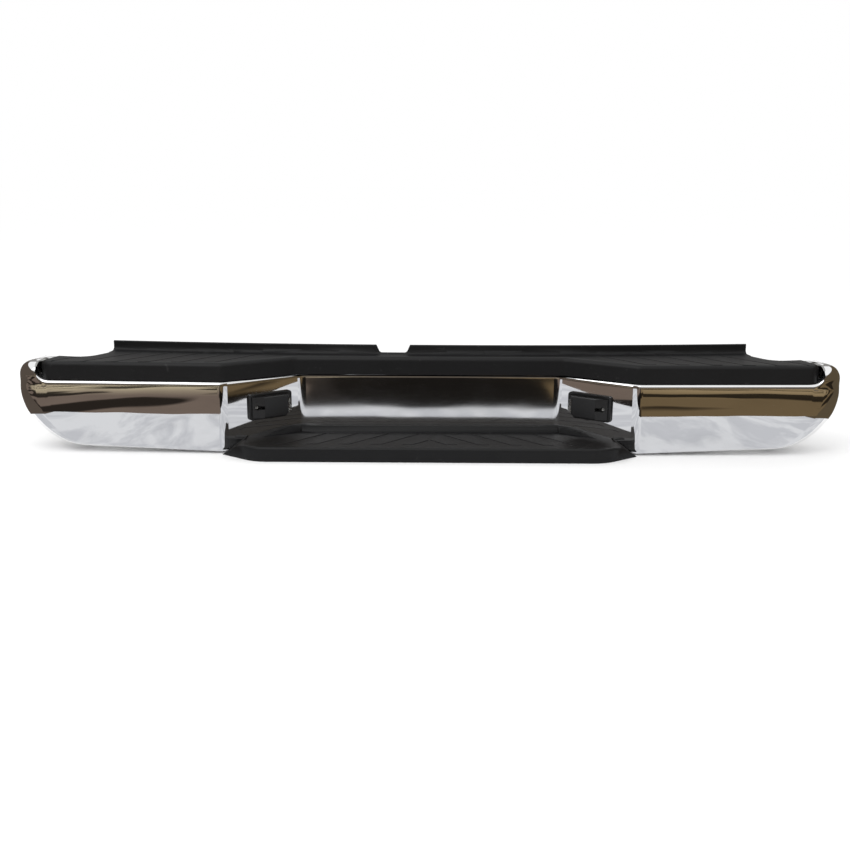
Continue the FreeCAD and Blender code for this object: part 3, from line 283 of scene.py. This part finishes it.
# The CAD's own shape with joined vertices, so that it can be shaded smoothly
def softCopy(node, name, materials, slot, degrees=32):
    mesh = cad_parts[node].data.copy()
    mesh.name = name
    bm = bmesh.new()
    bm.from_mesh(mesh)
    bmesh.ops.remove_doubles(bm, verts=bm.verts, dist=0.00002)
    bm.to_mesh(mesh)
    bm.free()
    smoothShaded(mesh, degrees)
    piece = newPiece(name, mesh, materials, slot, node)
    weighted = piece.modifiers.new("even shading", "WEIGHTED_NORMAL")
    weighted.keep_sharp = True
    return piece


bar = {
    "halfWidth": 0.912, "recessHalf": 0.287, "flankHalf": 0.448,
    "panel": -0.005, "front": -0.120, "sweep": 0.015, "back": 0.035, "taper": 0.035,
    "recessRound": 0.025, "flankRound": 0.025, "wingRound": 0.050, "arcSteps": 14,
    "bottom": 0.0025, "bottomRoll": 0.012, "top": 0.1945, "topRoll": 0.030,
    "shoulder": 0.158, "shoulderRound": 0.008, "seat": 0.0123, "seatRoll": 0.009,
    "seatEnd": 0.8498, "seatCorner": 0.0255, "flange": 0.045, "bottomFlange": 0.022,
    "curveTop": 0.139, "curveWide": 0.116, "curvePower": 1.7, "wingRise": 0.015,
    "endBack": 0.006, "thickness": 0.002, "crown": 0.0034, "crownLow": 0.080,
    "deepInset": 0.050, "plateInset": 0.066, "cheekRow": 31, "arcSlack": 0.002,
}


def wingFront(x):
    return bar["front"] + (abs(x) - bar["flankHalf"]) * bar["sweep"] / (bar["halfWidth"] - bar["flankHalf"])


# The bar's corners seen from above, from the left end to the right one: x, y and radius
def barCorners():
    endX = bar["halfWidth"] - bar["taper"] * (bar["endBack"] - wingFront(bar["halfWidth"])) / (
        bar["back"] - wingFront(bar["halfWidth"]))
    seatStart = bar["seatEnd"] - bar["seatCorner"]
    right = [(bar["recessHalf"], bar["panel"], bar["recessRound"]),
             (bar["flankHalf"], bar["front"], bar["flankRound"]),
             (seatStart, wingFront(seatStart), 0),
             (bar["halfWidth"], wingFront(bar["halfWidth"]), bar["wingRound"]),
             (endX, bar["endBack"], 0)]
    return [(-x, y, r) for x, y, r in reversed(right)] + right


# The bar's outline, its corners rounded with a vertex bevel
def barOutline(bm):
    corners = barCorners()
    verts = [bm.verts.new((x, y, 0)) for x, y, r in corners]
    for start, end in zip(verts, verts[1:]):
        bm.edges.new((start, end))
    arcs = []
    for i in range(1, len(corners) - 1):
        here, radius = Vector(corners[i][:2]), corners[i][2]
        if radius:
            before = (Vector(corners[i - 1][:2]) - here).normalized()
            after = (Vector(corners[i + 1][:2]) - here).normalized()
            half = before.angle(after) / 2
            inward = (before + after).normalized()
            arcs.append((here, inward, math.sin(half), radius))
            bmesh.ops.bevel(bm, geom=[verts[i]], offset=radius / math.tan(half), offset_type="OFFSET",
                            segments=bar["arcSteps"], profile=0.5, affect="VERTICES", material=-1,
                            clamp_overlap=False)
    # more columns where the seat of the pad runs out
    for side in (-1, 1):
        low, high = bar["seatEnd"] - bar["seatCorner"], bar["seatEnd"]
        spots = [low + (high - low) * math.sin(math.radians(9 * i)) for i in range(1, 10)] + [high - 0.0001, high]
        for spot in spots:
            for edge in list(bm.edges):
                a, b = sorted((v.co.x * side for v in edge.verts))
                if a < spot - 1e-6 and b > spot + 1e-6 and max(v.co.y for v in edge.verts) < -0.09:
                    start = min(edge.verts, key=lambda v: v.co.x * side)
                    bmesh.utils.edge_split(edge, start, (spot - a) / (b - a))
                    break
    return arcs


def orderedColumns(bm):
    here = min((v for v in bm.verts if len(v.link_edges) == 1), key=lambda v: v.co.x)
    row, seen = [here], {here}
    while True:
        following = [e.other_vert(here) for e in here.link_edges if e.other_vert(here) not in seen]
        if not following:
            return row
        here = following[0]
        row.append(here)
        seen.add(here)


def endReach(level):
    # half width at a level: the ends curl under
    if level >= bar["curveTop"]:
        return bar["halfWidth"]
    flat = bar["halfWidth"] - bar["curveWide"]
    drop = (bar["curveTop"] - level) / (bar["curveTop"] - bar["bottom"])
    return flat + bar["curveWide"] * max(0, 1 - min(drop, 1) ** bar["curvePower"]) ** (1 / bar["curvePower"])


def crownInset(level, x):
    # the wings lean back a little more the higher they get
    share = (level - bar["crownLow"]) / (bar["shoulder"] - bar["shoulderRound"] - bar["crownLow"])
    onWing = min(max(0, abs(x) - bar["flankHalf"] + 0.02) / 0.04, 1)
    return bar["crown"] * onWing * max(0, share) ** 2


# Section of the sheet from its lower flange up the face and over to the top flange: (inset, level)
def barSection(x):
    x = abs(x)
    roll = bar["bottomRoll"]
    rows = [(roll + bar["bottomFlange"], bar["bottom"])]
    for i in range(7):
        turn = math.radians(15 * i)
        rows.append((roll * (1 - math.sin(turn)), bar["bottom"] + roll * (1 - math.cos(turn))))
    low = bar["bottom"] + roll
    for i in range(1, 25):
        rise = 1 - math.cos(math.radians(90 * (i / 24) ** 0.8))
        level = low + (bar["curveTop"] - low) * rise
        rows.append((crownInset(level, x), level))
    inner = bar["seatEnd"] - bar["seatCorner"]
    if x < bar["seatEnd"] - 0.00005:
        over = min(max(x - inner, 0), bar["seatCorner"])
        ledge = bar["shoulder"] + bar["seatCorner"] - math.sqrt(bar["seatCorner"] ** 2 - over ** 2)
        soft = bar["shoulderRound"]
        base = crownInset(min(ledge - soft, bar["shoulder"] - soft), x)
        for i in range(3):
            level = bar["curveTop"] + (ledge - soft - bar["curveTop"]) * (i + 1) / 4
            rows.append((min(crownInset(level, x), base), level))
        for i in range(9):
            turn = math.radians(90 * i / 8)
            rows.append((base + soft * (1 - math.cos(turn)), ledge - soft * (1 - math.sin(turn))))
        deep = bar["seat"] + 0.0005 if x < inner else bar["deepInset"]
        rows.append((deep, ledge))
        soft = bar["seatRoll"] * (1 if x < inner else 0.5)
        for i in range(6):
            turn = math.radians(90 * i / 5)
            level = max(bar["top"] - soft * (1 - math.sin(turn)), ledge + 0.0004 * (i + 1))
            rows.append((deep + soft * (1 - math.cos(turn)), min(level, bar["top"])))
        rows.append((max(bar["seat"] + bar["seatRoll"] + bar["flange"] - 0.009, deep + soft + 0.002), bar["top"]))
    else:
        soft = bar["topRoll"]
        base = crownInset(bar["shoulder"] - bar["shoulderRound"], x)
        for i in range(3):
            level = bar["curveTop"] + (bar["top"] - soft - bar["curveTop"]) * (i + 1) / 4
            rows.append((min(crownInset(level, x), base), level))
        for i in range(16):
            turn = math.radians(90 * i / 15)
            rows.append((base + (soft - base) * (1 - math.cos(turn)), bar["top"] - soft * (1 - math.sin(turn))))
        rows.append((bar["plateInset"], bar["top"]))
    return rows


# Beside each end of the pad's seat, one flat face closes the cheek between the two sections
def closeCheeks(bm, grid, onSeat):
    for i in range(len(onSeat) - 1):
        if onSeat[i] == onSeat[i + 1]:
            continue
        upper = grid[bar["cheekRow"]:]
        strip = {row[i] for row in upper} | {row[i + 1] for row in upper}
        faces = [face for face in bm.faces if all(vert in strip for vert in face.verts)]
        rungs = [bm.edges.get((row[i], row[i + 1])) for row in upper[1:-1]]
        bmesh.ops.delete(bm, geom=faces, context="FACES_ONLY")
        bmesh.ops.delete(bm, geom=rungs, context="EDGES")
        outline = [edge for edge in bm.edges if all(vert in strip for vert in edge.verts)]
        bmesh.ops.contextual_create(bm, geom=outline)


def buildFaceBar():
    bm = bmesh.new()
    arcs = barOutline(bm)
    columns = orderedColumns(bm)
    places = [v.co.copy() for v in columns]
    across = []
    for i in range(len(places)):
        before = (places[i] - places[max(i - 1, 0)]).normalized() if i else (places[1] - places[0]).normalized()
        after = (places[i + 1] - places[i]).normalized() if i + 1 < len(places) else before
        normal = (Vector((-before.y, before.x, 0)) + Vector((-after.y, after.x, 0))).normalized()
        across.append(normal / max(0.5, normal.dot(Vector((-after.y, after.x, 0)))))
    bends = []
    for place in places:
        found = None
        for corner, inward, sine, radius in arcs:
            centre = corner + inward * radius / sine
            beside = bar["flankHalf"] + radius * 2 < abs(place.x) <= bar["seatEnd"]
            if abs((place.xy - centre).length - radius) < bar["arcSlack"] and inward.y > 0 and not beside:
                found = (corner, inward, sine, radius)
        bends.append(found)
    sections = [barSection(place.x) for place in places]
    span = bar["halfWidth"] - bar["flankHalf"]
    flankEnd = bar["flankHalf"] + 0.012

    def spot(column, row):
        inset, level = sections[column][row]
        bend = bends[column]
        if bend and inset > bend[3] - 0.0005:
            corner, inward, sine, radius = bend
            place = (corner + inward * inset / sine).to_3d()
        else:
            place = places[column] + across[column] * inset
        side = 1 if place.x > 0 else -1
        # the corner and the side wall move inboard where the end curls under
        pull = bar["halfWidth"] - endReach(level)
        share = min(max(abs(places[column].x) - flankEnd, 0) / (bar["seatEnd"] - flankEnd), 1)
        place.x -= side * pull * share
        place.y -= pull * share * bar["sweep"] / span
        rise = bar["wingRise"] * max(0, abs(place.x) - bar["flankHalf"]) / span
        place.z = level + rise * max(0, 1 - level / 0.09)
        return place

    current = columns
    grid = [columns]
    for i, vert in enumerate(columns):
        vert.co = spot(i, 0)
    for row in range(1, len(sections[0])):
        edges = [bm.edges.get(pair) for pair in zip(current, current[1:])]
        made = bmesh.ops.extrude_edge_only(bm, edges=edges)["geom"]
        fresh = {v for v in made if isinstance(v, bmesh.types.BMVert)}
        current = [next(e.other_vert(v) for e in v.link_edges if e.other_vert(v) in fresh) for v in current]
        for i, vert in enumerate(current):
            vert.co = spot(i, row)
        grid.append(current)
    closeCheeks(bm, grid, [abs(place.x) < bar["seatEnd"] - 0.00005 for place in places])
    bmesh.ops.remove_doubles(bm, verts=bm.verts, dist=0.000005)
    bmesh.ops.recalc_face_normals(bm, faces=bm.faces)
    middle = min(bm.faces, key=lambda f: (f.calc_center_median() - Vector((0, -0.005, 0.06))).length)
    if middle.normal.y > 0:
        bmesh.ops.reverse_faces(bm, faces=bm.faces)
    mesh = bpy.data.meshes.new("chromeBar")
    bm.to_mesh(mesh)
    bm.free()
    smoothShaded(mesh, 40)
    piece = newPiece("chromeBar", mesh, [chrome, plateBack], "chrome", "face_bar")
    sheet = piece.modifiers.new("sheet thickness", "SOLIDIFY")
    sheet.thickness = bar["thickness"]
    sheet.offset = -1
    sheet.material_offset = 1
    sheet.material_offset_rim = 1
    return piece


buildFaceBar()
print("chrome bar made")

softCopy("top_step_pad", "topPad", [stepPlastic], "step_plastic")
softCopy("lower_step_pad", "lowerPad", [stepPlastic], "step_plastic")
for side in ("right", "left"):
    housing = softCopy(f"plate_lamp_housing_{side}", f"lampHousing.{side}", [lampPlastic], "lamp_plastic", 40)
    rounding = housing.modifiers.new("rounded edges", "BEVEL")
    rounding.width = 0.0016
    rounding.segments = 3
    rounding.angle_limit = math.radians(30)
    rounding.harden_normals = False
    housing.modifiers.move(1, 0)
    softCopy(f"plate_lamp_screw_{side}", f"lampScrew.{side}", [zincSteel], "zinc_steel")
print("pads and lamps made")

nodeFinishes = {
    "cross_beam": paintedSteel, "frame_bracket": paintedSteel, "corner_brace": paintedSteel,
    "step_support": paintedSteel, "bracket_bolts": zincSteel, "bracket_nuts": zincSteel,
    "brace_bolts": zincSteel, "brace_nuts": zincSteel, "support_bolts": zincSteel, "support_nuts": zincSteel,
    "top_pad_clips": clipNylon, "lower_pad_clips": clipNylon, "plate_lamp_lens": clearLens,
    "plate_lamp_seal": sealRubber, "plate_lamp_bulb": bulbGlass, "plate_lamp_holder": lampPlastic,
}
for name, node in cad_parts.items():
    for start, material in nodeFinishes.items():
        if name.startswith(start):
            node.data.materials.clear()
            node.data.materials.append(material)
print("frame nodes finished")


# Floor, backdrop light and camera

def flatCard(name, low, high, color, roughness=0.6, strength=0.0):
    bm = bmesh.new()
    bmesh.ops.create_grid(bm, x_segments=1, y_segments=1, size=0.5)
    size = Vector(high) - Vector(low)
    middle = (Vector(high) + Vector(low)) / 2
    if size.z > size.y:
        bmesh.ops.rotate(bm, verts=bm.verts, matrix=Matrix.Rotation(math.radians(90), 3, "X"))
        size.y = 1
    elif size.x < 0.001:
        bmesh.ops.rotate(bm, verts=bm.verts, matrix=Matrix.Rotation(math.radians(90), 3, "Y"))
        size.x = 1
    else:
        size.z = 1
    bmesh.ops.scale(bm, verts=bm.verts, vec=size)
    bmesh.ops.translate(bm, verts=bm.verts, vec=middle)
    mesh = bpy.data.meshes.new(name)
    bm.to_mesh(mesh)
    bm.free()
    card = bpy.data.objects.new(name, mesh)
    scene.collection.objects.link(card)
    finish = Finish(name, Roughness=roughness)
    finish.shader.inputs["Base Color"].default_value = color + (1,)
    finish.shader.inputs["Specular IOR Level"].default_value = 0
    if strength:
        finish.shader.inputs["Base Color"].default_value = (0, 0, 0, 1)
        finish.shader.inputs["Emission Color"].default_value = color + (1,)
        finish.shader.inputs["Emission Strength"].default_value = strength
    mesh.materials.append(finish.material)
    return card, finish


floor = flatCard("floor", (-40, -20, 0), (40, 60, 0), (1.0, 1.0, 1.0))


# Painted reflection of the room behind the camera: a glowing brown ground with dark shapes, paler further off,
# that only the chrome's gloss shows
def paintedRoomReflection(finish, near, far, shapes):
    distance = finish.node("ShaderNodeSeparateXYZ", None, {"Vector": finish.place}, 1)
    away = finish.node("ShaderNodeMapRange", None, {"Value": distance, "From Min": -0.6, "From Max": -3.2})
    ground = finish.blend(finish.ramp(away, [(0.25, 0.0), (0.75, 1.0)]), near, far)
    dark = finish.ramp(finish.noise(1.0, 1, 0.4, shapes), [(0.50, 0.0), (0.53, 1.0)])
    finish.feed("Emission Color", finish.blend(dark * 0.9, ground, (0.006, 0.005, 0.004)))


# Painted reflection of the white cloth in front of the bumper: a flat glowing sheet whose faint folds are painted
# shade, darker streaks in its glow
def paintedClothReflection(finish, light, fold):
    folds = finish.ramp(finish.noise(3.0, 4, 0.6, (1.6, 0.5, 1), 2.0), [(0.42, 0.0), (0.56, 1.0)])
    finish.feed("Emission Color", finish.blend(folds, fold, light))

# Glowing cards that only the gloss sees, painting the reflections of a studio with the lights off behind the
# camera
cards = {
    "roomFloorLeft": {"low": (-6, -5, 0.002), "high": (-0.35, -0.52, 0.002), "near": (0.17, 0.13, 0.105),
                      "far": (0.52, 0.44, 0.30), "shapes": (2.3, 0.8, 1)},
    "roomFloorMiddle": {"low": (-0.35, -5, 0.002), "high": (0.35, -0.52, 0.002), "near": (0.022, 0.019, 0.017),
                        "far": (0.13, 0.11, 0.09), "shapes": (1.6, 0.3, 1)},
    "roomFloorRight": {"low": (0.35, -5, 0.002), "high": (6, -0.52, 0.002), "near": (0.15, 0.105, 0.055),
                       "far": (0.30, 0.22, 0.12), "shapes": (0.8, 1.6, 1)},
    "cloth": {"low": (-1.15, -0.52, 0.0015), "high": (1.15, -0.112, 0.0015), "light": (0.76, 0.77, 0.79),
              "fold": (0.60, 0.61, 0.64)},
    "roomWall": {"low": (-6, -5, 0.0), "high": (6, -5, 2.6), "color": (0.12, 0.10, 0.08)},
    "leftSide": {"low": (-3.2, -5, 0.0), "high": (-3.2, 4, 2.4), "color": (0.095, 0.075, 0.06)},
    "rightSide": {"low": (3.2, -5, 0.0), "high": (3.2, 4, 2.4), "color": (0.10, 0.075, 0.045)},
    "leftFloor": {"low": (-6, -0.52, 0.0025), "high": (-1.0, 4, 0.0025), "color": (0.095, 0.075, 0.06)},
    "rightFloor": {"low": (1.0, -0.52, 0.0025), "high": (6, 4, 0.0025), "color": (0.10, 0.075, 0.045)},
    "backWall": {"low": (-3.2, 4, 0.3), "high": (3.2, 4, 2.6), "color": (0.30, 0.29, 0.28)},
}
for name, card in cards.items():
    made, finish = flatCard(name, card["low"], card["high"], card.get("color", (0.1, 0.1, 0.1)), strength=1.0)
    if "near" in card:
        paintedRoomReflection(finish, card["near"], card["far"], card["shapes"])
    if "fold" in card:
        paintedClothReflection(finish, card["light"], card["fold"])
    made.visible_camera = False
    made.visible_diffuse = False
    made.visible_shadow = False
    made.visible_transmission = False
print("floor and cards made")

light = {"world": 1.0, "key": 25, "keyPlace": (-1.2, -1.6, 2.6), "keySize": 2.2}
world = bpy.data.worlds.new("pale room")
scene.world = world
world.use_nodes = True
background = world.node_tree.nodes["Background"]
background.inputs["Color"].default_value = (1, 1, 1, 1)
path = world.node_tree.nodes.new("ShaderNodeLightPath")
seen = None
for output in ("Is Camera Ray", "Is Glossy Ray", "Is Transmission Ray"):
    if seen is None:
        seen = path.outputs[output]
        continue
    either = world.node_tree.nodes.new("ShaderNodeMath")
    either.operation = "MAXIMUM"
    world.node_tree.links.new(seen, either.inputs[0])
    world.node_tree.links.new(path.outputs[output], either.inputs[1])
    seen = either.outputs[0]
level = world.node_tree.nodes.new("ShaderNodeMapRange")
level.inputs["To Min"].default_value = light["world"]
level.inputs["To Max"].default_value = 1.0
world.node_tree.links.new(seen, level.inputs["Value"])
world.node_tree.links.new(level.outputs[0], background.inputs["Strength"])

lampData = bpy.data.lights.new("softbox", "AREA")
lampData.energy = light["key"]
lampData.size = light["keySize"]
softbox = bpy.data.objects.new("softbox", lampData)
softbox.location = light["keyPlace"]
softbox.rotation_euler = (Vector((0, -0.05, 0.1)) - softbox.location).to_track_quat("-Z", "Y").to_euler()
scene.collection.objects.link(softbox)

view = {"place": (-0.0132, -2.2154, 0.5784), "lens": 42.35, "pitch": 13.70, "yaw": 0.07, "roll": 0.35}
cameraData = bpy.data.cameras.new("camera")
cameraData.lens = view["lens"]
cameraData.sensor_width = 36
camera = bpy.data.objects.new("camera", cameraData)
camera.matrix_world = (Matrix.Translation(view["place"]) @ Matrix.Rotation(math.radians(-view["yaw"]), 4, "Z")
                       @ Matrix.Rotation(math.radians(90 - view["pitch"]), 4, "X")
                       @ Matrix.Rotation(math.radians(view["roll"]), 4, "Z"))
scene.collection.objects.link(camera)
scene.camera = camera
print("light and camera set")
